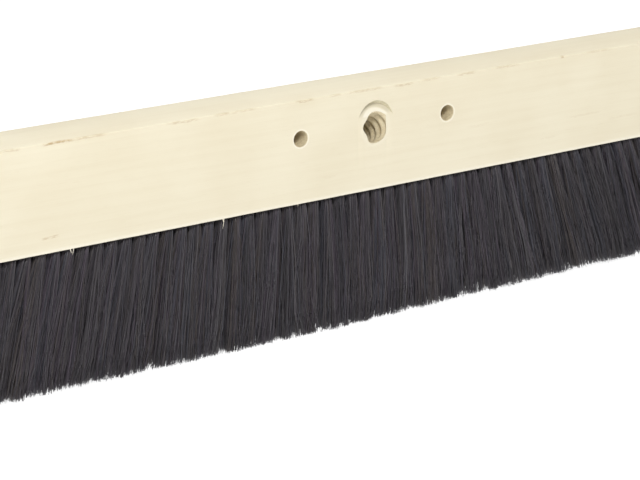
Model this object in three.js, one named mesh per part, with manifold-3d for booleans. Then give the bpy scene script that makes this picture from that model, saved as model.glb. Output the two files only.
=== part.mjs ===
// Push broom head, without its handle.
//
// A straight wooden block stands on edge. Three rows of black bristle tufts are set in blind holes
// in its lower edge, and fan out towards both ends. The front of the block has a threaded socket
// for the handle, drilled at a slant so that the handle rises away from the floor, between two
// plain holes for the bolts of a handle brace. Four neighbouring tufts in a row mingle into one
// bundle, and each bundle is a part.
//
// X runs along the block, Z is up and the handle side faces -Y. The origin is in the middle of the
// plane of the bristle tips, which is the floor. Lengths are in millimetres and angles in degrees.

import * as THREE from "three";
import { mergeVertices } from "three/addons/utils/BufferGeometryUtils.js";
import Module from "manifold-3d";

// The block
const BLOCK_LENGTH = 610;
const BLOCK_DEPTH = 38;
const BLOCK_HEIGHT = 65;
const BLOCK_EDGE = 0.8; // chamfer on the four long edges

// The bristles
const TRIM = 86; // from the block down to the tips
const TUFT_PITCH = 9.5;
const TUFTS_IN_BUNDLE = 4;
const TUFT_HOLE_RADIUS = 3.35;
const TUFT_HOLE_DEPTH = 15;
const TUFT_ROOT_RADIUS = 2.7; // at the bottom of its hole
const TUFT_FLARE = 0.025; // growth of the radius for each millimetre below the root
const TUFT_SIDES = 6;
const MINGLE_HEIGHT = 60; // below this height the tufts of a bundle are one mass
const MINGLE_THICKNESS = 8.4;
const GAP = 0.3; // between parts that touch

// Upright in the middle of the head, the tufts lean outwards more and more between these places
// along it, up to the full lean: the shift along X for each millimetre down.
const FULL_LEAN = 0.275;
const LEFT_FAN = { start: -20, end: -260 };
const RIGHT_FAN = { start: 45, end: 195 };

// Each row's tuft count, its place across the block, and where its tips start and end across it
const ROW_SPACING = 12.5;
const TIP_SPREAD = 20.5;
const ROWS = [
  { name: "front", tufts: 64, y: -ROW_SPACING, tips: [-TIP_SPREAD, -(ROW_SPACING + GAP) / 2] },
  { name: "middle", tufts: 63, y: 0, tips: [-(ROW_SPACING - GAP) / 2, (ROW_SPACING - GAP) / 2] },
  { name: "back", tufts: 64, y: ROW_SPACING, tips: [(ROW_SPACING + GAP) / 2, TIP_SPREAD] },
];

// The handle socket, a blind threaded hole whose mouth is above the middle of the front face
const SOCKET_BELOW_TOP = 24.4;
const SOCKET_TILT = 30; // rise of the handle above the horizontal
const SOCKET_DEPTH = 28; // along its axis
const THREAD_MAJOR_RADIUS = 9.5;
const THREAD_MINOR_RADIUS = 8;
const THREAD_PITCH = 6.35;
const THREAD_START = 250; // turns the thread about its axis
const SPOT_FACE_RADIUS = 14.2;
const SPOT_FACE_ABOVE_AXIS = 6; // the height on the front face where the spot face runs out

// The two brace bolt holes
const BRACE_SPACING = 112;
const BRACE_BELOW_TOP = 24.1;
const BRACE_RADIUS = 4.95;

const BLOCK_BOTTOM = TRIM;
const BLOCK_TOP = TRIM + BLOCK_HEIGHT;
const FRONT = -BLOCK_DEPTH / 2;
const PAST = 5; // how far a cutter runs past the face that it starts from
const ROUND_SIDES = 32;

const wasm = await Module();
wasm.setup();

function toSolid(geometry) {
  const bare = geometry.clone();
  bare.deleteAttribute("normal");
  bare.deleteAttribute("uv");
  const merged = mergeVertices(bare);
  return new wasm.Manifold(new wasm.Mesh({
    numProp: 3,
    vertProperties: Float32Array.from(merged.attributes.position.array),
    triVerts: Uint32Array.from(merged.index.array),
  }));
}

function toGeometry(solid) {
  const mesh = solid.getMesh();
  const geometry = new THREE.BufferGeometry();
  geometry.setAttribute("position", new THREE.BufferAttribute(mesh.vertProperties, 3));
  geometry.setIndex(new THREE.BufferAttribute(mesh.triVerts, 1));
  geometry.computeVertexNormals();
  return geometry;
}

// A bar along X with the given outline of [y, z] corners, from x = start.
function bar(outline, start, length) {
  const shape = new THREE.Shape(outline.map(([y, z]) => new THREE.Vector2(y, z)));
  const geometry = new THREE.ExtrudeGeometry(shape, { depth: length, bevelEnabled: false });
  return geometry.rotateY(Math.PI / 2).rotateX(Math.PI / 2).translate(start, 0, 0);
}

// A round or many-sided bar along Z, from z = bottom to z = top.
function post(topRadius, bottomRadius, bottom, top, sides) {
  const geometry = new THREE.CylinderGeometry(topRadius, bottomRadius, top - bottom, sides);
  return geometry.rotateX(Math.PI / 2).translate(0, 0, (top + bottom) / 2);
}

// A tap along Z, from about z = bottom to z = top: a bar whose radius is the thread's profile.
// Its rows of points climb the helix, so that the ridges run true, and each end is one turn of a
// ramp closed to a point on the axis.
function tap(bottom, top) {
  const around = 16;
  const profile = [THREAD_MINOR_RADIUS, THREAD_MINOR_RADIUS, THREAD_MAJOR_RADIUS, THREAD_MAJOR_RADIUS];
  const rise = THREAD_PITCH / profile.length;
  const rows = Math.ceil((top - bottom) / rise);
  const points = [];
  const triangles = [];
  const columnStart = [];

  for (let column = 0; column < around; column += 1) {
    const angle = (2 * Math.PI * column) / around;
    const lift = (profile.length * column) / around;
    const last = column === 0 ? rows + profile.length : rows;
    columnStart.push(points.length / 3);
    for (let row = 0; row <= last; row += 1) {
      const radius = profile[row % profile.length];
      points.push(radius * Math.cos(angle), radius * Math.sin(angle), bottom + (row + lift) * rise);
    }
  }

  // After a whole turn a column meets the first one, a pitch higher.
  const point = (column, row) => (
    column < around ? columnStart[column] + row : columnStart[0] + row + profile.length
  );
  for (let column = 0; column < around; column += 1) {
    for (let row = 0; row < rows; row += 1) {
      const [a, b] = [point(column, row), point(column + 1, row)];
      const [c, d] = [point(column + 1, row + 1), point(column, row + 1)];
      triangles.push(a, b, c, a, c, d);
    }
  }

  for (const [row, outward] of [[0, -1], [rows, 1]]) {
    const rim = [];
    for (let column = 0; column < around; column += 1) {
      rim.push(point(column, row));
    }
    for (let step = profile.length; step > 0; step -= 1) {
      rim.push(point(0, row + step));
    }
    const centre = points.length / 3;
    points.push(0, 0, bottom + (row + profile.length / 2) * rise);
    rim.forEach((here, k) => {
      const next = rim[(k + 1) % rim.length];
      triangles.push(centre, ...(outward > 0 ? [here, next] : [next, here]));
    });
  }

  const geometry = new THREE.BufferGeometry();
  geometry.setAttribute("position", new THREE.Float32BufferAttribute(points, 3));
  geometry.setIndex(triangles);
  return geometry.rotateZ(THREE.MathUtils.degToRad(THREAD_START));
}

// Turns a cutter made along Z, with its mouth at z = 0, into the slant of the handle socket.
function intoSocket(geometry) {
  return geometry
    .rotateX(THREE.MathUtils.degToRad(90 - SOCKET_TILT))
    .translate(0, FRONT, BLOCK_TOP - SOCKET_BELOW_TOP);
}

// How far a tuft at x leans along X for each millimetre down.
function lean(x) {
  const fan = x < 0 ? LEFT_FAN : RIGHT_FAN;
  const progress = THREE.MathUtils.clamp((x - fan.start) / (fan.end - fan.start), 0, 1);
  return Math.sign(x) * FULL_LEAN * Math.sin((progress * Math.PI) / 2);
}

// Leans an upright geometry as the tufts lean, about the underside of the block.
function fanOut(geometry) {
  const points = geometry.attributes.position;
  for (let k = 0; k < points.count; k += 1) {
    const x = points.getX(k);
    points.setX(k, x + lean(x) * (BLOCK_BOTTOM - points.getZ(k)));
  }
  return geometry;
}

// The centres of one row's tufts along X.
function tuftCentres(row) {
  return Array.from({ length: row.tufts }, (_, k) => (k - (row.tufts - 1) / 2) * TUFT_PITCH);
}

function makeBlock() {
  const [near, far] = [FRONT, -FRONT];
  const outline = [
    [near + BLOCK_EDGE, BLOCK_BOTTOM], [far - BLOCK_EDGE, BLOCK_BOTTOM],
    [far, BLOCK_BOTTOM + BLOCK_EDGE], [far, BLOCK_TOP - BLOCK_EDGE],
    [far - BLOCK_EDGE, BLOCK_TOP], [near + BLOCK_EDGE, BLOCK_TOP],
    [near, BLOCK_TOP - BLOCK_EDGE], [near, BLOCK_BOTTOM + BLOCK_EDGE],
  ];
  let block = toSolid(bar(outline, -BLOCK_LENGTH / 2, BLOCK_LENGTH));

  const tiltRise = THREAD_MAJOR_RADIUS * Math.tan(THREE.MathUtils.degToRad(SOCKET_TILT));
  const mouth = tiltRise + PAST;
  const thread = toSolid(intoSocket(tap(-SOCKET_DEPTH - THREAD_PITCH, mouth)));
  const reach = THREAD_MAJOR_RADIUS + PAST;
  const drilled = toSolid(intoSocket(post(reach, reach, -SOCKET_DEPTH, mouth, ROUND_SIDES)));
  block = block.subtract(thread.intersect(drilled));

  const runOut = SPOT_FACE_ABOVE_AXIS * Math.sin(THREE.MathUtils.degToRad(SOCKET_TILT));
  const spotFace = post(SPOT_FACE_RADIUS, SPOT_FACE_RADIUS, runOut, runOut + mouth, ROUND_SIDES);
  block = block.subtract(toSolid(intoSocket(spotFace)));

  for (const side of [-1, 1]) {
    const drill = post(BRACE_RADIUS, BRACE_RADIUS, FRONT - PAST, -FRONT + PAST, ROUND_SIDES / 2)
      .rotateX(Math.PI / 2)
      .translate((side * BRACE_SPACING) / 2, 0, BLOCK_TOP - BRACE_BELOW_TOP);
    block = block.subtract(toSolid(drill));
  }

  const holes = [];
  const holeTop = BLOCK_BOTTOM + TUFT_HOLE_DEPTH;
  for (const row of ROWS) {
    for (const x of tuftCentres(row)) {
      const hole = post(TUFT_HOLE_RADIUS, TUFT_HOLE_RADIUS, BLOCK_BOTTOM - PAST, holeTop, TUFT_SIDES);
      holes.push(toSolid(fanOut(hole.translate(x, row.y, 0))));
    }
  }
  block = block.subtract(wasm.Manifold.union(holes));
  return toGeometry(block);
}

// One bundle: separate roots above, one mass that spreads to the tips below.
function makeBundle(row, centres) {
  const middle = (centres[0] + centres[centres.length - 1]) / 2;
  const length = centres.length * TUFT_PITCH - GAP;
  const half = MINGLE_THICKNESS / 2;
  const outline = [
    [row.tips[0], 0], [row.tips[1], 0],
    [row.y + half, MINGLE_HEIGHT], [row.y - half, MINGLE_HEIGHT],
  ];
  let bundle = toSolid(fanOut(bar(outline, middle - length / 2, length)));

  const rootTop = BLOCK_BOTTOM + TUFT_HOLE_DEPTH - GAP;
  const rootBottom = MINGLE_HEIGHT - PAST;
  const wide = TUFT_ROOT_RADIUS + TUFT_FLARE * (rootTop - rootBottom);
  for (const x of centres) {
    const root = post(TUFT_ROOT_RADIUS, wide, rootBottom, rootTop, TUFT_SIDES);
    bundle = bundle.add(toSolid(fanOut(root.translate(x, row.y, 0))));
  }
  return toGeometry(bundle);
}

const wood = new THREE.MeshStandardMaterial({ color: 0xf2e8cc, roughness: 0.75, metalness: 0 });
const bristle = new THREE.MeshStandardMaterial({ color: 0x2b292b, roughness: 0.55, metalness: 0 });

const broomHead = new THREE.Group();

const block = new THREE.Mesh(makeBlock(), wood);
block.name = "block";
broomHead.add(block);

for (const row of ROWS) {
  const centres = tuftCentres(row);
  for (let first = 0; first < centres.length; first += TUFTS_IN_BUNDLE) {
    const bundle = new THREE.Mesh(makeBundle(row, centres.slice(first, first + TUFTS_IN_BUNDLE)), bristle);
    const number = String(first / TUFTS_IN_BUNDLE + 1).padStart(2, "0");
    bundle.name = `bristles_${row.name}_${number}`;
    broomHead.add(bundle);
  }
}

export default broomHead;
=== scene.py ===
"""The looks of the push broom head: a planed wooden block with rows of black bristle tufts.

The CAD model gives the frame: the block's box and the box of each bundle of bristles. The holes
have the CAD model's places and sizes. Here the block is cut again with fine edges and a smooth
thread, and each bundle becomes the tufts of hair that it stands for. Lengths are in millimetres
until a mesh is made.
"""

import math

import bmesh
import bpy
import numpy as np
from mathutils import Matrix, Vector


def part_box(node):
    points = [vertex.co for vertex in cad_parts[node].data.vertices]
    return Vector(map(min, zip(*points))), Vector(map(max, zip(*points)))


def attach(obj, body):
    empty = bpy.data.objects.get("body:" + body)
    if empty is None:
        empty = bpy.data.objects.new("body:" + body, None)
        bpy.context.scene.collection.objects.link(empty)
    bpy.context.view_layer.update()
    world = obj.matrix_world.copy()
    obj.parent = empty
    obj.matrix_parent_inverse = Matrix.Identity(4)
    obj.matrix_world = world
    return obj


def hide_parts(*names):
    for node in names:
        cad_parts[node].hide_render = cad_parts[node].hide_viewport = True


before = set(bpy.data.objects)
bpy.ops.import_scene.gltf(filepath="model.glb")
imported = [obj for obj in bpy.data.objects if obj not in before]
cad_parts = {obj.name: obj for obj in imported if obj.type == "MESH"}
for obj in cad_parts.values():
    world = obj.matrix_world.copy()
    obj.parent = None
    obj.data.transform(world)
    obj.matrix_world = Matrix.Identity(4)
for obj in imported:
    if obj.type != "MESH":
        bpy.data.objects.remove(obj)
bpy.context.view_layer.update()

MM = 0.001

# The block, whose box comes from the frame
BLOCK_LOW, BLOCK_HIGH = (np.array(corner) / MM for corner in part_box("block"))
BOTTOM = BLOCK_LOW[2]
TOP = BLOCK_HIGH[2]
FRONT = BLOCK_LOW[1]
BACK = -FRONT
HALF_LENGTH = BLOCK_HIGH[0]
BOTTOM_ARRIS, TOP_ARRIS = 0.7, 0.4  # the radii of the long edges
SMALLEST_ARRIS = 0.2
ARRIS_WEAR = [(0.12, 9), (0.1, 31)]  # how far those radii wander, and over what length
ARRIS_STEPS = 3
STATION_STEP = 2.5  # between the block's cross-sections
SHARP_ANGLE = 35  # degrees between two faces, above which their edge is shaded sharp

# The handle socket and the brace holes
SOCKET_BELOW_TOP = 24.4
SOCKET_TILT = 30  # degrees that the socket rises towards the front
SOCKET_DEPTH = 28
THREAD_MAJOR_RADIUS = 9.5
THREAD_MINOR_RADIUS = 8
THREAD_PITCH = 6.35
THREAD_START = 250  # degrees that the thread is turned about its axis
SPOT_FACE_RADIUS = 14.2
SPOT_FACE_ABOVE_AXIS = 6  # where its floor runs out of the front face
BRACE_SPACING = 112
BRACE_BELOW_TOP = 24.1
BRACE_RADIUS = 4.95

# The tufts
TUFT_PITCH = 9.5
TUFTS_IN_BUNDLE = 4
TUFTS_IN_ROW = {"front": 64, "middle": 63, "back": 64}
ROW_Y = {"front": -12.5, "middle": 0, "back": 12.5}
TUFT_HOLE_RADIUS = 3.35
TUFT_HOLE_DEPTH = 15

# The tufts are upright in the middle of the head, and lean outwards more and more between these
# places along it, up to the full lean: the shift along X for each millimetre down.
FULL_LEAN = 0.275
LEFT_FAN = (-20, -260)
RIGHT_FAN = (45, 195)


def lean(x):
    """How far a tuft at x leans along X for each millimetre down."""
    left = np.clip((x - LEFT_FAN[0]) / (LEFT_FAN[1] - LEFT_FAN[0]), 0, 1)
    right = np.clip((x - RIGHT_FAN[0]) / (RIGHT_FAN[1] - RIGHT_FAN[0]), 0, 1)
    return FULL_LEAN * (np.sin(right * np.pi / 2) - np.sin(left * np.pi / 2))


def row_centres(row):
    """The places of one row's tufts along X."""
    count = TUFTS_IN_ROW[row]
    return (np.arange(count) - (count - 1) / 2) * TUFT_PITCH


def new_object(name, points, faces):
    """An object from points in millimetres."""
    mesh = bpy.data.meshes.new(name)
    mesh.from_pydata((np.asarray(points, float) * MM).tolist(), [], faces)
    mesh.update()
    piece = bpy.data.objects.new(name, mesh)
    bpy.context.scene.collection.objects.link(piece)
    return piece


def smooth_noise(rng, x, spacing):
    """A random curve along x, from -1 to 1, with a new value every spacing."""
    knots = np.arange(x.min() - spacing, x.max() + 2 * spacing, spacing)
    values = rng.uniform(-1, 1, len(knots))
    place = (x - knots[0]) / spacing
    first = place.astype(int)
    part = place - first
    part = part * part * (3 - 2 * part)
    return values[first] * (1 - part) + values[first + 1] * part


def loft(rings):
    """A closed tube through rings of equally many points, with flat ends as its last two faces."""
    rings = np.asarray(rings, float)
    count, around = rings.shape[:2]
    points = rings.reshape(-1, 3)
    faces = []
    for ring in range(count - 1):
        for k in range(around):
            a = ring * around + k
            b = ring * around + (k + 1) % around
            faces.append((a, b, b + around, a + around))
    faces.append(tuple(range(around - 1, -1, -1)))
    faces.append(tuple(range((count - 1) * around, count * around)))
    return points, faces


def lathe(profile, around):
    """A closed turned solid along Z from a list of (radius, z)."""
    angles = np.linspace(0, 2 * np.pi, around, endpoint=False)
    return loft([[(r * math.cos(a), r * math.sin(a), z) for a in angles] for r, z in profile])


# ------------------------------------------------------------------------------------ the block

def block_outline(inset, radii):
    """The block's section as (y, z) points, with a rounded corner of its own radius at each arris."""
    low_y, high_y = FRONT + inset, BACK - inset
    low_z, high_z = BOTTOM + inset, TOP - inset
    corners = [(low_y, low_z, 180), (high_y, low_z, 270), (high_y, high_z, 0), (low_y, high_z, 90)]
    outline = []
    for (y, z, start), radius in zip(corners, radii):
        out_y = math.copysign(1, y)
        out_z = 1 if z > (BOTTOM + TOP) / 2 else -1
        centre_y, centre_z = y - out_y * radius, z - out_z * radius
        for k in range(ARRIS_STEPS + 1):
            angle = math.radians(start + 90 * k / ARRIS_STEPS)
            outline.append((centre_y + radius * math.cos(angle), centre_z + radius * math.sin(angle)))
    return outline


def block_blank(rng):
    """The bare bar of wood, with rounded ends and arrises that are a little uneven."""
    # A station is a place along X and how far the section is inset there.
    ends = [(BOTTOM_ARRIS * (1 - math.cos(a)), BOTTOM_ARRIS * (1 - math.sin(a)))
            for a in np.radians([0, 30, 60, 90])]
    inner = np.arange(-HALF_LENGTH + 2 * STATION_STEP, HALF_LENGTH - STATION_STEP, STATION_STEP)
    stations = [(-HALF_LENGTH + along, inset) for along, inset in ends]
    stations += [(x, 0) for x in inner]
    stations += [(HALF_LENGTH - along, inset) for along, inset in reversed(ends)]
    places = np.array([x for x, _ in stations])
    arrises = (BOTTOM_ARRIS, BOTTOM_ARRIS, TOP_ARRIS, TOP_ARRIS)
    wear = [sum(size * smooth_noise(rng, places, spacing) for size, spacing in ARRIS_WEAR)
            for _ in arrises]
    rings = []
    for k, (x, inset) in enumerate(stations):
        radii = [max(SMALLEST_ARRIS, full - inset / 2 + row[k]) for full, row in zip(arrises, wear)]
        rings.append([(x, y, z) for y, z in block_outline(inset, radii)])
    return new_object("wood_block", *loft(rings))


def into_socket(points):
    """Turns points made about the Z axis into the slant of the handle socket."""
    turn = math.radians(90 - SOCKET_TILT)
    x, y, z = np.asarray(points, float).T
    turned_y = y * math.cos(turn) - z * math.sin(turn)
    turned_z = y * math.sin(turn) + z * math.cos(turn)
    return np.stack([x, FRONT + turned_y, TOP - SOCKET_BELOW_TOP + turned_z], axis=1)


def socket_cutter():
    """The thread as a bar along Z whose radius follows the helix."""
    around = 96
    step = 0.25
    past = 5
    half_flat = 0.125  # half of the CAD thread's flat ridge, as a share of the pitch
    mouth = THREAD_MAJOR_RADIUS * math.tan(math.radians(SOCKET_TILT)) + past
    angles = np.linspace(0, 2 * np.pi, around, endpoint=False)
    start = math.radians(THREAD_START)
    rings = []
    for z in np.arange(-SOCKET_DEPTH, mouth, step):
        turn = (z + SOCKET_DEPTH + THREAD_PITCH) / THREAD_PITCH - (angles - start) / (2 * np.pi) - half_flat
        rise = 0.5 - 0.5 * np.cos(2 * np.pi * turn)
        radius = THREAD_MINOR_RADIUS + (THREAD_MAJOR_RADIUS - THREAD_MINOR_RADIUS) * rise
        rings.append(np.stack([radius * np.cos(angles), radius * np.sin(angles), np.full(around, z)], 1))
    points, faces = loft(rings)
    return new_object("socket_cutter", into_socket(points), faces)


def spot_face_cutter():
    """A flat-ended drill along the socket's axis."""
    around = 96
    reach = 15
    run_out = SPOT_FACE_ABOVE_AXIS * math.sin(math.radians(SOCKET_TILT))
    points, faces = lathe([(SPOT_FACE_RADIUS, run_out), (SPOT_FACE_RADIUS, run_out + reach)], around)
    return new_object("spot_face_cutter", into_socket(points), faces)


def brace_hole_cutter(side):
    """A drill right through the block, with a slightly broken edge at both faces."""
    around = 64
    flare, past = 0.3, 2
    wide = BRACE_RADIUS + flare
    profile = [(wide, FRONT - past), (wide, FRONT), (BRACE_RADIUS, FRONT + flare),
               (BRACE_RADIUS, BACK - flare), (wide, BACK), (wide, BACK + past)]
    points, faces = lathe(profile, around)
    x, y, z = points.T
    placed = np.stack([x + side * BRACE_SPACING / 2, z, TOP - BRACE_BELOW_TOP + y], axis=1)
    # The swap of Y and Z turned the faces inside out.
    return new_object("brace_hole_cutter", placed, [face[::-1] for face in faces])


def tuft_hole_cutter():
    """The holes of all the tufts, which lean as the tufts do."""
    around = 20
    past = 2
    profile = [(TUFT_HOLE_RADIUS, BOTTOM - past), (TUFT_HOLE_RADIUS, BOTTOM + TUFT_HOLE_DEPTH)]
    hole, hole_faces = lathe(profile, around)
    all_points, all_faces = [], []
    for row, y in ROW_Y.items():
        for x in row_centres(row):
            points = hole + (x, y, 0)
            points[:, 0] += lean(points[:, 0]) * (BOTTOM - points[:, 2])
            first = len(all_points) * len(hole)
            all_points.append(points)
            all_faces += [tuple(first + k for k in face) for face in hole_faces]
    return new_object("tuft_hole_cutter", np.concatenate(all_points), all_faces)


# Slivers at the bottom arris: the place along X, the length below the block, the width and the sway.
SPLINTERS = [(-216.4, 2.6, 0.7, 0.8), (-214.2, 3.4, 0.6, -1.2), (-111.7, 5.8, 0.65, -1.1),
             (-112.6, 2.0, 0.5, 0.6), (-58, 1.0, 0.5, -0.3)]


def splinter(x, length, width, sway):
    """A sliver of wood that hangs from the front bottom arris and tapers to its tip."""
    around = 6
    root_height = 0.8  # of its start, above the block's underside
    root_behind, tip_behind = 0.35, 0.05  # the front face
    thickness = 0.32
    steps = 7
    narrows, thins = 0.85, 0.7  # by these shares, from root to tip
    rings = []
    for share in np.linspace(0, 1, steps):
        half_width = width / 2 * (1 - narrows * share)
        half_depth = thickness / 2 * (1 - thins * share)
        middle_x = x + sway * share ** 2
        middle_y = FRONT + root_behind + (tip_behind - root_behind) * share
        z = BOTTOM + root_height - (length + root_height) * share
        rings.append([(middle_x + half_width * math.cos(a), middle_y + half_depth * math.sin(a), z)
                      for a in np.linspace(0, 2 * np.pi, around, endpoint=False)])
    return new_object("splinter", *loft(rings))


def join(piece, other):
    """Adds the other object's mesh to the piece's own."""
    mesh = bmesh.new()
    mesh.from_mesh(piece.data)
    mesh.from_mesh(other.data)
    mesh.to_mesh(piece.data)
    mesh.free()
    bpy.data.objects.remove(other)


def cut(piece, cutter):
    """Cuts the cutter's shape out of the piece. The new faces take the cutter's materials."""
    modifier = piece.modifiers.new("cut", "BOOLEAN")
    modifier.operation = "DIFFERENCE"
    modifier.solver = "EXACT"
    modifier.material_mode = "TRANSFER"
    modifier.object = cutter
    with bpy.context.temp_override(object=piece, active_object=piece, selected_objects=[piece]):
        bpy.ops.object.modifier_apply(modifier=modifier.name)
    bpy.data.objects.remove(cutter)


# -------------------------------------------------------------------------------- material nodes

class Recipe:
    """A new material and the ways to add its nodes. A socket or a plain value can feed any input."""

    def __init__(self, name):
        self.material = bpy.data.materials.new(name)
        self.material.use_nodes = True
        self.tree = self.material.node_tree
        self.shader = self.tree.nodes["Principled BSDF"]
        self.geometry = self.node("ShaderNodeTexCoord", {})

    def node(self, kind, inputs, **settings):
        made = self.tree.nodes.new(kind)
        for name, value in settings.items():
            setattr(made, name, value)
        for name, value in inputs.items():
            if isinstance(value, bpy.types.NodeSocket):
                self.tree.links.new(value, made.inputs[name])
            else:
                made.inputs[name].default_value = value
        return made

    def maths(self, operation, *values):
        return self.node("ShaderNodeMath", dict(enumerate(values)), operation=operation).outputs[0]

    def minus(self, first, second):
        return self.maths("SUBTRACT", first, second)

    def times(self, first, second):
        return self.maths("MULTIPLY", first, second)

    def total(self, first, *others):
        for other in others:
            first = self.maths("ADD", first, other)
        return first

    def away(self, value, middle):
        """How far a value is from the middle, either way."""
        return self.maths("ABSOLUTE", self.minus(value, middle))

    def distance(self, across, down):
        """The distance from an axis, from the two coordinates across it."""
        return self.maths("SQRT", self.total(self.times(across, across), self.times(down, down)))

    def place(self, along_z=1):
        """Places on the object in millimetres. An along_z under 1 draws noise out along Z."""
        return self.scaled(self.geometry.outputs["Object"], (1 / MM, 1 / MM, along_z / MM))

    def scaled(self, place, scale):
        made = self.node("ShaderNodeVectorMath", {0: place, 1: scale}, operation="MULTIPLY")
        return made.outputs[0]

    def noise(self, place, scale, detail=2, roughness=0.5):
        inputs = {"Vector": place, "Scale": scale, "Detail": detail, "Roughness": roughness}
        return self.node("ShaderNodeTexNoise", inputs).outputs["Fac"]

    def grain(self, place, scale, detail=2):
        """Noise that is drawn out along the block, from its scale along X and its scale across."""
        along, across = scale
        return self.noise(self.scaled(place, (along, across, across)), 1, detail)

    def remap(self, value, from_low, from_high, to_low=0, to_high=1, kind="SMOOTHSTEP"):
        inputs = {"Value": value, "From Min": from_low, "From Max": from_high,
                  "To Min": to_low, "To Max": to_high}
        return self.node("ShaderNodeMapRange", inputs, interpolation_type=kind).outputs["Result"]

    def mix(self, share, first, second):
        made = self.node("ShaderNodeMix", {0: share, 6: first, 7: second}, data_type="RGBA")
        return made.outputs[2]

    def axes(self, place):
        split = self.node("ShaderNodeSeparateXYZ", {"Vector": place})
        return [split.outputs[k] for k in range(3)]

    def feed(self, name, socket):
        self.tree.links.new(socket, self.shader.inputs[name])

    def bump(self, height, depth):
        """Raises the surface by the height, of which 1 is the depth in millimetres."""
        made = self.node("ShaderNodeBump", {"Height": height, "Strength": 1, "Distance": depth * MM})
        self.feed("Normal", made.outputs["Normal"])


# ---------------------------------------------------------------------------------------- the wood

WOOD_PALE = (0.714, 0.657, 0.506, 1)
WOOD_DEEP = (0.585, 0.50, 0.335, 1)
# The colour of the painted highlights at the front bottom arris, round the brace holes and on the spot
# face's floor
WOOD_PAINTED_HIGHLIGHT = (0.86, 0.83, 0.72, 1)
WOOD_BRUISE = (0.46, 0.34, 0.19, 1)
WOOD_END = (0.56, 0.47, 0.30, 1)
# The colour of the painted shade on the spot face's floor, away from the socket
SPOT_FACE_PAINTED_SHADE = (0.54, 0.50, 0.385, 1)
SPOT_FACE_WALL = (0.68, 0.63, 0.465, 1), (0.53, 0.475, 0.32, 1)  # pale and deep
BORED = (0.74, 0.66, 0.47, 1), (0.50, 0.41, 0.25, 1)  # pale and deep

# Places where the plane tore the grain of the front face at the top arris and left brown wood: the
# middle along X and the half length, how far below the top, and how brown each is.
BRUISES = [
    (-262, 5, 0.9, 0.3), (-252, 6, 0.6, 0.4), (-222, 11, 0.8, 1.0), (-202, 12, 0.4, 0.5),
    (-139, 12, 0.9, 0.5), (-112, 6, 0.6, 0.5), (-97, 10, 0.5, 0.35), (-53, 7, 0.9, 0.7),
    (-30, 5, 0.4, 0.35), (-8, 14, 0.7, 0.5), (22, 8, 1.0, 0.5), (43, 8, 0.5, 0.35),
    (71, 8, 0.9, 0.5), (104, 11, 0.6, 0.4), (150, 1.6, 0.9, 1.0), (181, 12, 0.6, 0.3),
]

# Other brown marks on the front face, by the same four numbers but measured above the bottom.
FACE_MARKS = [(-229, 6, 9.4, 0.6), (81, 10, 29, 0.12), (140, 9, 12, 0.12), (-35, 6, 14, 0.12),
              (171, 16, 23, 0.16), (205, 14, 17, 0.12)]

# The pith that the yearly rings go round
PITH_Y = -35
PITH_BELOW_BOTTOM = 60
RING_SPACING = 6.5
RING_BEND = 14

# The scales of the grain's noise along X and across it
BEND_GRAIN = (0.0035, 0.02)
FIBRE_GRAIN = (0.035, 1.6)
STREAK_GRAIN = (0.012, 0.22)
PORE_GRAIN = (0.12, 2.6)
TORN_GRAIN = (0.4, 1.4)

# How far each feature takes the planed wood from its pale colour towards its deep one
RINGS_DARKEN, FIBRES_DARKEN, STREAKS_DARKEN, CLOUDS_DARKEN, PORES_DARKEN = 0.07, 0.07, 0.08, 0.18, 0.14

# The middle line of the torn marks: the scale of its noise along X, and how far it wanders
WANDER_SCALE, WANDER_REACH = 0.07, 0.7

# How far each painted highlight and painted shade takes the planed wood towards its own colour
BOTTOM_HIGHLIGHT_SHARE = 0.42
BRACE_RIM_HIGHLIGHT_SHARE = 0.5
SPOT_FACE_HIGHLIGHT_SHARE, SPOT_FACE_SHADE_SHARE = 0.6, 0.75
SOCKET_RIM_HIGHLIGHT_SHARE = 0.12  # where the socket's rim is level with the front face

# How deep the bumps are in planed wood, in bored wood and along a hair
PLANED_RELIEF, BORED_RELIEF, HAIR_RELIEF = 0.06, 0.3, 0.04


def wood_rings(recipe, place):
    """The yearly rings as a wave from 0 to 1, about a pith that runs along X below the block."""
    bend = recipe.grain(place, BEND_GRAIN, detail=4)
    _, y, z = recipe.axes(place)
    from_pith = recipe.distance(recipe.minus(y, PITH_Y), recipe.minus(z, BOTTOM - PITH_BELOW_BOTTOM))
    bent = recipe.total(from_pith, recipe.times(bend, RING_BEND))
    turn = recipe.maths("FRACT", recipe.maths("DIVIDE", bent, RING_SPACING))
    late = recipe.remap(turn, 0.35, 0.95)
    early = recipe.remap(turn, 0.95, 1, 1, 0)
    return recipe.times(late, early)


def brace_rim_highlights(recipe, x, z, front):
    """Painted highlights: pale rings round the brace holes on the front face."""
    from_middle = recipe.away(x, 0)
    from_hole = recipe.distance(recipe.minus(from_middle, BRACE_SPACING / 2),
                                recipe.minus(z, TOP - BRACE_BELOW_TOP))
    rim = recipe.remap(from_hole, BRACE_RADIUS + 0.5, BRACE_RADIUS + 1.6, BRACE_RIM_HIGHLIGHT_SHARE, 0)
    return recipe.times(rim, front)


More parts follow.
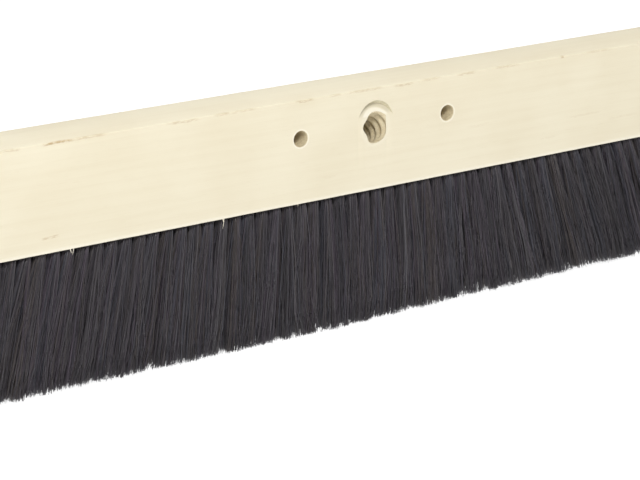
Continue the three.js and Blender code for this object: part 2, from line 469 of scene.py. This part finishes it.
def spot_face_painted_light(recipe, x, y, z):
    """The painted highlight on the spot face's floor next to the socket, and the painted shade further out.
    """
    tilt = math.radians(SOCKET_TILT)
    above_axis = recipe.total(recipe.times(recipe.minus(y, FRONT), math.sin(tilt)),
                              recipe.times(recipe.minus(z, TOP - SOCKET_BELOW_TOP), math.cos(tilt)))
    from_axis = recipe.distance(x, above_axis)
    not_deep = recipe.remap(y, FRONT + 6, FRONT + 8, 1, 0)
    # pale is a painted highlight on the floor next to the socket, starting faintly at the socket's rim
    pale = recipe.remap(y, FRONT, FRONT + 0.8, SOCKET_RIM_HIGHLIGHT_SHARE, SPOT_FACE_HIGHLIGHT_SHARE)
    pale = recipe.times(recipe.remap(from_axis, 10.4, 12, 1, 0), recipe.times(pale, not_deep))
    # grey is a painted shade on the floor further from the socket
    grey = recipe.remap(y, FRONT + 0.2, FRONT + 1.8, 0, SPOT_FACE_SHADE_SHARE)
    grey = recipe.times(recipe.remap(from_axis, 10.8, 12.6, 0, 1), recipe.times(grey, not_deep))
    past_wall = recipe.remap(from_axis, SPOT_FACE_RADIUS + 0.1, SPOT_FACE_RADIUS + 0.8, 1, 0)
    return pale, recipe.times(grey, past_wall)


def torn_marks(recipe, place, x, z, front):
    """How brown the front face is: thin dashes whose outline and middle line wander."""
    wander = recipe.noise(recipe.scaled(place, (WANDER_SCALE, 0, 0)), 1, detail=3)
    wander = recipe.remap(wander, 0.2, 0.8, -WANDER_REACH, WANDER_REACH, kind="LINEAR")
    ragged = recipe.remap(recipe.grain(place, TORN_GRAIN, detail=3), 0.3, 0.62)
    level = recipe.total(z, wander)
    marks = [(x0, half, TOP - below, strength) for x0, half, below, strength in BRUISES]
    marks += [(x0, half, BOTTOM + above, strength) for x0, half, above, strength in FACE_MARKS]
    brown = 0
    for middle, half, height, strength in marks:
        along = recipe.remap(recipe.away(x, middle), half * 0.5, half * 1.1, strength, 0)
        across = recipe.remap(recipe.away(level, height), 0.35, 1.1, 1, 0)
        brown = recipe.maths("MAXIMUM", brown, recipe.times(along, across))
    return recipe.times(recipe.times(brown, front), ragged)


def planed_material():
    """Pale planed wood: faint rings and fibres along X, darker at its sawn ends, torn at one arris; with
    painted highlights and painted shade.
    """
    recipe = Recipe("planed_wood")
    place = recipe.place()
    x, y, z = recipe.axes(place)
    rings = wood_rings(recipe, place)
    fibres = recipe.grain(place, FIBRE_GRAIN, detail=4)
    streaks = recipe.grain(place, STREAK_GRAIN)
    clouds = recipe.noise(place, 0.018)
    pores = recipe.remap(recipe.grain(place, PORE_GRAIN, detail=1), 0.66, 0.76)
    rough_cut = recipe.noise(place, 1.3, detail=3)

    depth = recipe.total(
        recipe.times(rings, RINGS_DARKEN),
        recipe.remap(fibres, 0.35, 0.8, 0, FIBRES_DARKEN),
        recipe.remap(streaks, 0.4, 0.75, 0, STREAKS_DARKEN),
        recipe.remap(clouds, 0.35, 0.7, 0, CLOUDS_DARKEN),
        recipe.times(pores, PORES_DARKEN))
    colour = recipe.mix(depth, WOOD_PALE, WOOD_DEEP)

    # The sawn ends face along X.
    facing = recipe.maths("ABSOLUTE", recipe.axes(recipe.geometry.outputs["Normal"])[0])
    sawn = recipe.remap(facing, 0.6, 0.9)
    saw_marks = recipe.noise(recipe.scaled(place, (1, 0.12, 1.1)), 1, detail=3)
    end_depth = recipe.total(recipe.times(rings, 0.5), recipe.times(saw_marks, 0.4))
    colour = recipe.mix(sawn, colour, recipe.mix(end_depth, WOOD_END, WOOD_DEEP))

    # A painted highlight: the arris at the front bottom edge is painted pale.
    front = recipe.remap(y, FRONT + 0.7, FRONT + 2.2, 1, 0)
    bottom_highlight = recipe.times(recipe.remap(z, BOTTOM + 0.8, BOTTOM + 3, 1, 0), front)
    colour = recipe.mix(recipe.times(bottom_highlight, BOTTOM_HIGHLIGHT_SHARE), colour, WOOD_PAINTED_HIGHLIGHT)

    # A painted highlight and a painted shade on the spot face's floor
    pale, grey = spot_face_painted_light(recipe, x, y, z)
    colour = recipe.mix(grey, colour, SPOT_FACE_PAINTED_SHADE)
    # Painted highlights round the brace holes and next to the socket
    pale = recipe.maths("MAXIMUM", brace_rim_highlights(recipe, x, z, front), pale)
    colour = recipe.mix(pale, colour, WOOD_PAINTED_HIGHLIGHT)
    colour = recipe.mix(torn_marks(recipe, place, x, z, front), colour, WOOD_BRUISE)
    recipe.feed("Base Color", colour)

    roughness = recipe.remap(rings, 0, 1, 0.62, 0.54)
    recipe.feed("Roughness", recipe.total(roughness, recipe.times(fibres, 0.12), recipe.times(sawn, 0.15)))

    sawn_height = recipe.times(recipe.times(sawn, saw_marks), 3)
    height = recipe.total(fibres, recipe.times(pores, -0.6), sawn_height, recipe.times(rough_cut, 0.3))
    recipe.bump(height, PLANED_RELIEF)
    return recipe.material


def bored_material(name, pale, deep):
    """Wood inside a drilled hole: darker end grain with torn fibres."""
    recipe = Recipe(name)
    place = recipe.place()
    torn = recipe.noise(place, 1.1, detail=5, roughness=0.65)
    patches = recipe.noise(place, 0.28)
    depth = recipe.total(recipe.remap(torn, 0.3, 0.75, 0, 0.6), recipe.remap(patches, 0.35, 0.7, 0, 0.4))
    recipe.feed("Base Color", recipe.mix(depth, pale, deep))
    recipe.feed("Roughness", recipe.remap(torn, 0.3, 0.7, 0.72, 0.9))
    recipe.bump(torn, BORED_RELIEF)
    return recipe.material


def make_block():
    """The bar of wood with its holes cut and its splinters added."""
    planed = planed_material()
    bored = bored_material("bored_wood", *BORED)
    wall = bored_material("step_wood", *SPOT_FACE_WALL)
    block = block_blank(np.random.default_rng(3))
    block.data.materials.append(planed)

    # The side of this cutter leaves the spot face's wall. Its ends are its last two faces, and leave
    # the floor, which the planed material colours.
    spot_face = spot_face_cutter()
    spot_face.data.materials.append(wall)
    spot_face.data.materials.append(planed)
    for end in list(spot_face.data.polygons)[-2:]:
        end.material_index = 1

    socket, brace_left, brace_right = socket_cutter(), brace_hole_cutter(-1), brace_hole_cutter(1)
    tuft_holes = tuft_hole_cutter()
    for cutter in (socket, brace_left, brace_right, tuft_holes):
        cutter.data.materials.append(bored)
    for cutter in (socket, spot_face, brace_left, brace_right, tuft_holes):
        cut(block, cutter)
    for numbers in SPLINTERS:
        join(block, splinter(*numbers))

    block.data.shade_smooth()
    block.data.set_sharp_from_angle(angle=math.radians(SHARP_ANGLE))
    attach(block, "root")
    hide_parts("block")


make_block()


# ----------------------------------------------------------------------------------- the bristles

HAIRS_IN_TUFT = 270
HAIR_RADIUS = 0.18
HAIR_SIDES = 3
THICKNESS_DEPTHS = [0.006, 0.03, 0.8, 1]  # shares of a hair's length, where it has
THICKNESSES = [0.3, 1, 1, 0.85]  # these shares of its full thickness
THICKNESS_RANGE = (0.8, 1.15)  # what each hair multiplies its radius by
ROOT_RADIUS = 2.5  # of a tuft in its hole
SHOULDER = 0.42  # how much wider a tuft grows just outside its hole
SHOULDER_START, SHOULDER_REACH = 0.006, 0.024  # of that growth, as shares of a hair's length
TIP_REACH = 5.7  # of a tuft along the row at its tips, before its hairs are scattered
FLARE, FLARE_SLOWS = 1.6, 0.6  # how fast a tuft spreads at its hole, and how much that slows
SQUARENESS = 0.8  # of a tuft at its tips, from 0 for round to 1 for square
TIP_MARGIN = 0.4  # kept free of hair at both sides of a row's tips, before they are scattered

# How far tips are scattered, along the row and across it
HAIR_SCATTER = (1.1, 0.6)
LOCK_SCATTER = (0.9, 0.5)
TUFT_SCATTER = 0.9

# Locks and loose hairs
LOCKS_IN_TUFT = 7
GATHERING = 0.15  # how far the hairs of a lock draw together at their tips
GATHERING_RANGE = (0.5, 1.3)  # what each hair multiplies that by
LOOSE_SHARE = 0.26  # of the hairs, which keep out of the locks
LOOSE_SCATTER = (3.8, 1.0)  # of their tips, along the row and across it
LOOSE_BOW = (2.4, 1.3)  # how much more than the others they bow, along the row and across it
LOOSE_SHORTER = 1.5

# How uneven the tips are, for a tuft, a lock and a hair
UNEVEN_TUFT, UNEVEN_LOCK, UNEVEN_HAIR = 0.5, 0.5, 0.15
SHORTER_RIGHT = 1.3  # how much less hair the tufts right of the middle have
SHORTER_FROM, SHORTER_OVER = -20, 60  # where along X that starts, and how far it takes

# How far slants stray, and how much more a hair strays or leans right where the fan is fully open
TUFT_STRAY, LOCK_STRAY, HAIR_STRAY = 0.016, 0.035, 0.008
FAN_STRAY = 0.018
SWEEP = 0.035

# How far hairs bow once and wave along their length
HAIR_BOW, LOCK_BOW = 0.9, 1.1
HAIR_WAVE, LOCK_WAVE = 0.5, 0.7
WAVE_ANGLE = 9  # radians of the wave along a hair
PHASE_SPREAD = 0.8  # within a lock

# The rings of a hair, as shares of its length below the block. The first is up in the hole.
RING_DEPTHS = np.array([-0.12, 0.006, 0.03, 0.11, 0.25, 0.43, 0.61, 0.81, 1.0])

HAIR_TINTS = {
    "neutral": (0.055, 0.049, 0.056),
    "bluish": (0.050, 0.050, 0.064),
    "purplish": (0.060, 0.048, 0.063),
    "brownish": (0.064, 0.053, 0.051),
    "greyer": (0.086, 0.080, 0.088),
    "darker": (0.034, 0.031, 0.035),
}
TINT_CHANCES = [0.3, 0.15, 0.15, 0.12, 0.13, 0.15]
CHANCE_RANGE = (0.3, 1.7)  # what each tuft multiplies each of those chances by
LOCK_TINT_SHARE = 0.35  # of the hairs, which take the tint of their lock
HAIR_SHEEN_ALONG = 0.12  # how fast a hair's sheen changes along it, as a share of how fast across it


def hair_material(name, colour):
    """Dull hair of one colour, with a sheen that comes and goes along it."""
    recipe = Recipe(f"bristle_{name}")
    recipe.shader.inputs["Base Color"].default_value = (*colour, 1)
    wear = recipe.noise(recipe.place(along_z=HAIR_SHEEN_ALONG), 1.4)
    recipe.feed("Roughness", recipe.remap(wear, 0.3, 0.7, 0.3, 0.55))
    recipe.bump(wear, HAIR_RELIEF)
    return recipe.material


def squared(spot):
    """Moves places in a round tuft out towards the corners of the square around it."""
    distance = np.linalg.norm(spot, axis=1, keepdims=True)
    widest = np.abs(spot).max(axis=1, keepdims=True)
    return spot * (distance / widest) ** SQUARENESS


def round_spots(rng, count):
    """Random places in a circle of radius 1."""
    angle = rng.uniform(0, 2 * np.pi, count)
    return np.sqrt(rng.uniform(0, 1, (count, 1))) * np.stack([np.cos(angle), np.sin(angle)], 1)


def hair_tips(rng, spot, lock_spot, lock, reach):
    """Each hair's tip from the middle of its tuft's tips, and which hairs are loose."""
    count = len(spot)
    own = squared(spot) * reach + rng.normal(0, HAIR_SCATTER, (count, 2))
    shared = (squared(lock_spot) * reach + rng.normal(0, LOCK_SCATTER, (LOCKS_IN_TUFT, 2)))[lock]
    gathering = GATHERING * rng.uniform(*GATHERING_RANGE, (count, 1))
    loose = rng.uniform(0, 1, (count, 1)) < LOOSE_SHARE
    scattered = own + rng.normal(0, LOOSE_SCATTER, (count, 2))
    return np.where(loose, scattered, own + gathering * (shared - own)), loose


def hair_lengths(rng, x, lock, loose):
    """Each hair's length below the block."""
    count = len(lock)
    length = BOTTOM - SHORTER_RIGHT * np.clip((x - SHORTER_FROM) / SHORTER_OVER, 0, 1)
    length = length - rng.uniform(0, UNEVEN_TUFT) - rng.uniform(0, UNEVEN_LOCK, LOCKS_IN_TUFT)[lock]
    shorter = np.abs(rng.normal(0, UNEVEN_HAIR, count))
    return length - (shorter + np.where(loose[:, 0], rng.uniform(0, LOOSE_SHORTER, count), 0))


def hair_slants(rng, x, spot, lock, fan):
    """How far each hair leans along X for each millimetre down."""
    slant = lean(x + ROOT_RADIUS * spot[:, 0]) + rng.normal(0, TUFT_STRAY)
    slant = slant + rng.normal(0, LOCK_STRAY, LOCKS_IN_TUFT)[lock]
    return slant + rng.normal(0, HAIR_STRAY + FAN_STRAY * fan, len(lock))


def tuft_paths(rng, x, y, tip_low, tip_high):
    """The centre lines of one tuft's hairs, as (hair, ring, xyz), and the lock of each hair."""
    count = HAIRS_IN_TUFT
    spot = round_spots(rng, count)
    lock_spot = round_spots(rng, LOCKS_IN_TUFT)
    lock = np.argmin(((spot[:, None] - lock_spot[None]) ** 2).sum(2), axis=1)
    reach = np.array([TIP_REACH, (tip_high - tip_low) / 2 - TIP_MARGIN])
    tip, loose = hair_tips(rng, spot, lock_spot, lock, reach)
    tip += [rng.normal(0, TUFT_SCATTER), (tip_low + tip_high) / 2 - y]
    length = hair_lengths(rng, x, lock, loose)
    fan = abs(lean(x)) / FULL_LEAN
    slant = hair_slants(rng, x, spot, lock, fan)
    drop = length * (1 - slant ** 2 / 4)

    def of_locks(spread):
        """Random shifts along X and Y that the hairs of a lock share."""
        return rng.normal(0, spread, (LOCKS_IN_TUFT, 1, 2))[lock]

    depth = RING_DEPTHS[None, :, None]
    below = np.clip(depth, 0, 1)
    bow = rng.normal(0, HAIR_BOW, (count, 1, 2)) + of_locks(LOCK_BOW)
    bow = bow * np.where(loose, LOOSE_BOW, 1)[:, None]
    wave = rng.normal(0, HAIR_WAVE, (count, 1, 2)) + of_locks(LOCK_WAVE)
    phase = rng.normal(0, PHASE_SPREAD, (count, 1, 1))
    phase = phase + rng.uniform(0, 2 * np.pi, (LOCKS_IN_TUFT, 1, 1))[lock]

    # A tuft spreads fastest just below its hole, and shrinks a little up in the hole.
    flare = FLARE * depth - FLARE_SLOWS * below ** 2
    root = ROOT_RADIUS * spot[:, None]
    shoulder = SHOULDER * np.clip((depth - SHOULDER_START) / SHOULDER_REACH, 0, 1)
    shoulder = shoulder * np.clip(1 - depth, 0, 1)
    sideways = root * (1 + shoulder) + (tip[:, None] - root) * flare
    sideways = sideways + bow * np.sin(np.pi * below) * below
    sideways = sideways + wave * np.sin(phase + WAVE_ANGLE * depth) * below

    down = drop[:, None] * RING_DEPTHS
    sweep = SWEEP * fan * down * below[0, :, 0]
    paths = np.empty((count, len(RING_DEPTHS), 3))
    paths[..., 0] = x + sideways[..., 0] + slant[:, None] * down + sweep
    paths[..., 1] = y + sideways[..., 1]
    paths[..., 2] = BOTTOM - down
    return paths, lock


def hair_tints(rng, lock):
    """The number of each hair's tint. Each tuft has its own mixture of them."""
    chances = TINT_CHANCES * rng.uniform(*CHANCE_RANGE, len(TINT_CHANCES))
    chances = chances / chances.sum()
    lock_tint = rng.choice(len(chances), LOCKS_IN_TUFT, p=chances)
    own_tint = rng.choice(len(chances), len(lock), p=chances)
    return np.where(rng.uniform(0, 1, len(lock)) < LOCK_TINT_SHARE, lock_tint[lock], own_tint)


def hair_template():
    """The faces of one hair: a three-sided tube, closed at its root and cut off square at its tip."""
    last = (len(RING_DEPTHS) - 1) * HAIR_SIDES
    faces = [tuple(range(HAIR_SIDES)), tuple(range(last + HAIR_SIDES - 1, last - 1, -1))]
    for ring in range(len(RING_DEPTHS) - 1):
        for k in range(HAIR_SIDES):
            a = ring * HAIR_SIDES + k
            b = ring * HAIR_SIDES + (k + 1) % HAIR_SIDES
            faces.append((a, a + HAIR_SIDES, b + HAIR_SIDES, b))
    return faces


def make_bristles(row, number, centres, materials, rng):
    """One bundle: the hairs of its tufts in one mesh."""
    node = f"bristles_{row}_{number:02d}"
    low, high = (np.array(corner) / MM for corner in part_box(node))
    paths, tints = [], []
    for x in centres:
        tuft, lock = tuft_paths(rng, x, ROW_Y[row], low[1], high[1])
        paths.append(tuft)
        tints.append(hair_tints(rng, lock))
    paths, tints = np.concatenate(paths), np.concatenate(tints)

    thickness = HAIR_RADIUS * rng.uniform(*THICKNESS_RANGE, (len(paths), 1))
    thickness = thickness * np.interp(RING_DEPTHS, THICKNESS_DEPTHS, THICKNESSES)
    turn = rng.uniform(0, 2 * np.pi, (len(paths), 1, 1))
    side = turn + (2 * np.pi * np.arange(HAIR_SIDES) / HAIR_SIDES)
    around = np.stack([np.cos(side), np.sin(side), np.zeros_like(side)], 3)
    hairs = paths[:, :, None] + thickness[..., None, None] * around

    template = hair_template()
    points_in_hair = len(RING_DEPTHS) * HAIR_SIDES
    faces = []
    for hair in range(len(paths)):
        faces += [tuple(hair * points_in_hair + k for k in face) for face in template]
    piece = new_object(f"tufts_{row}_{number:02d}", hairs.reshape(-1, 3), faces)
    for material in materials:
        piece.data.materials.append(material)
    piece.data.polygons.foreach_set("material_index", np.repeat(tints, len(template)).astype(np.int32))
    piece.data.shade_smooth()
    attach(piece, "root")
    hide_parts(node)


hair_materials = [hair_material(name, colour) for name, colour in HAIR_TINTS.items()]
for row_number, row in enumerate(TUFTS_IN_ROW):
    places = row_centres(row)
    for first in range(0, len(places), TUFTS_IN_BUNDLE):
        number = first // TUFTS_IN_BUNDLE + 1
        make_bristles(row, number, places[first:first + TUFTS_IN_BUNDLE], hair_materials,
                      np.random.default_rng([row_number, number]))


# ---------------------------------------------------------------------- floor, light and camera

FLOOR_REACH = 9000
WALL_RADIUS = 8900
WALL_HEIGHT = 1700
WALL_SIDES = 64
WORLD_STRENGTH = 0.36


def studio_material():
    """Paper that is lit from behind, so that it stays white from every side."""
    material = bpy.data.materials.new("studio_white")
    material.use_nodes = True
    shader = material.node_tree.nodes["Principled BSDF"]
    shader.inputs["Base Color"].default_value = (0.15, 0.15, 0.15, 1)
    shader.inputs["Roughness"].default_value = 0.9
    shader.inputs["Emission Color"].default_value = (1, 1, 1, 1)
    shader.inputs["Emission Strength"].default_value = 0.95
    return material


def make_studio():
    """A white floor with a low round wall far behind the object."""
    reach = FLOOR_REACH
    floor_points = [(-reach, -reach, 0), (reach, -reach, 0), (reach, reach, 0), (-reach, reach, 0)]
    floor = new_object("floor", floor_points, [(0, 1, 2, 3)])

    steps = np.linspace(0, 2 * np.pi, WALL_SIDES, endpoint=False)
    wall_points = [(WALL_RADIUS * math.cos(a), WALL_RADIUS * math.sin(a), z)
                   for z in (0, WALL_HEIGHT) for a in steps]
    wall_faces = []
    for k in range(WALL_SIDES):
        after = (k + 1) % WALL_SIDES
        wall_faces.append((k, after, WALL_SIDES + after, WALL_SIDES + k))
    wall = new_object("wall", wall_points, wall_faces)

    white = studio_material()
    for surface in (floor, wall):
        surface.data.materials.append(white)


def soft_box(name, place, size, strength):
    """A square area light that faces the object. Its strength is what it adds to the world's light."""
    data = bpy.data.lights.new(name, "AREA")
    light = bpy.data.objects.new(name, data)
    bpy.context.scene.collection.objects.link(light)
    to_object = Vector((0, 0, 0.1)) - Vector(place)
    light.location = place
    light.rotation_euler = to_object.to_track_quat("-Z", "Y").to_euler()
    data.size = size
    data.energy = strength * math.pi ** 2 * to_object.length_squared


make_studio()
soft_box("key_light", (-1.3, -1.9, 1.85), 0.6, 0.64)
soft_box("top_light", (0, 0.3, 3), 1.5, 0.54)

world = bpy.data.worlds.new("studio")
bpy.context.scene.world = world
world.use_nodes = True
world.node_tree.nodes["Background"].inputs["Color"].default_value = (1, 1, 1, 1)
world.node_tree.nodes["Background"].inputs["Strength"].default_value = WORLD_STRENGTH
bpy.context.scene.view_settings.view_transform = "Standard"

CAMERA_AZIMUTH = math.radians(35.04)
CAMERA_ELEVATION = math.radians(17.29)
CAMERA_DISTANCE = 1511
CAMERA_LENS = 135.8
CAMERA_SENSOR = 36
AIM_X = -28.5
AIM_BELOW_BLOCK = 32.75

aim = Vector((AIM_X, 0, BOTTOM - AIM_BELOW_BLOCK)) * MM
back = Vector((-math.sin(CAMERA_AZIMUTH) * math.cos(CAMERA_ELEVATION),
               -math.cos(CAMERA_AZIMUTH) * math.cos(CAMERA_ELEVATION), math.sin(CAMERA_ELEVATION)))
camera_data = bpy.data.cameras.new("camera")
camera_data.lens = CAMERA_LENS
camera_data.sensor_width = CAMERA_SENSOR
camera = bpy.data.objects.new("camera", camera_data)
bpy.context.scene.collection.objects.link(camera)
camera.location = aim + back * CAMERA_DISTANCE * MM
camera.rotation_euler = (-back).to_track_quat("-Z", "Y").to_euler()
bpy.context.scene.camera = camera
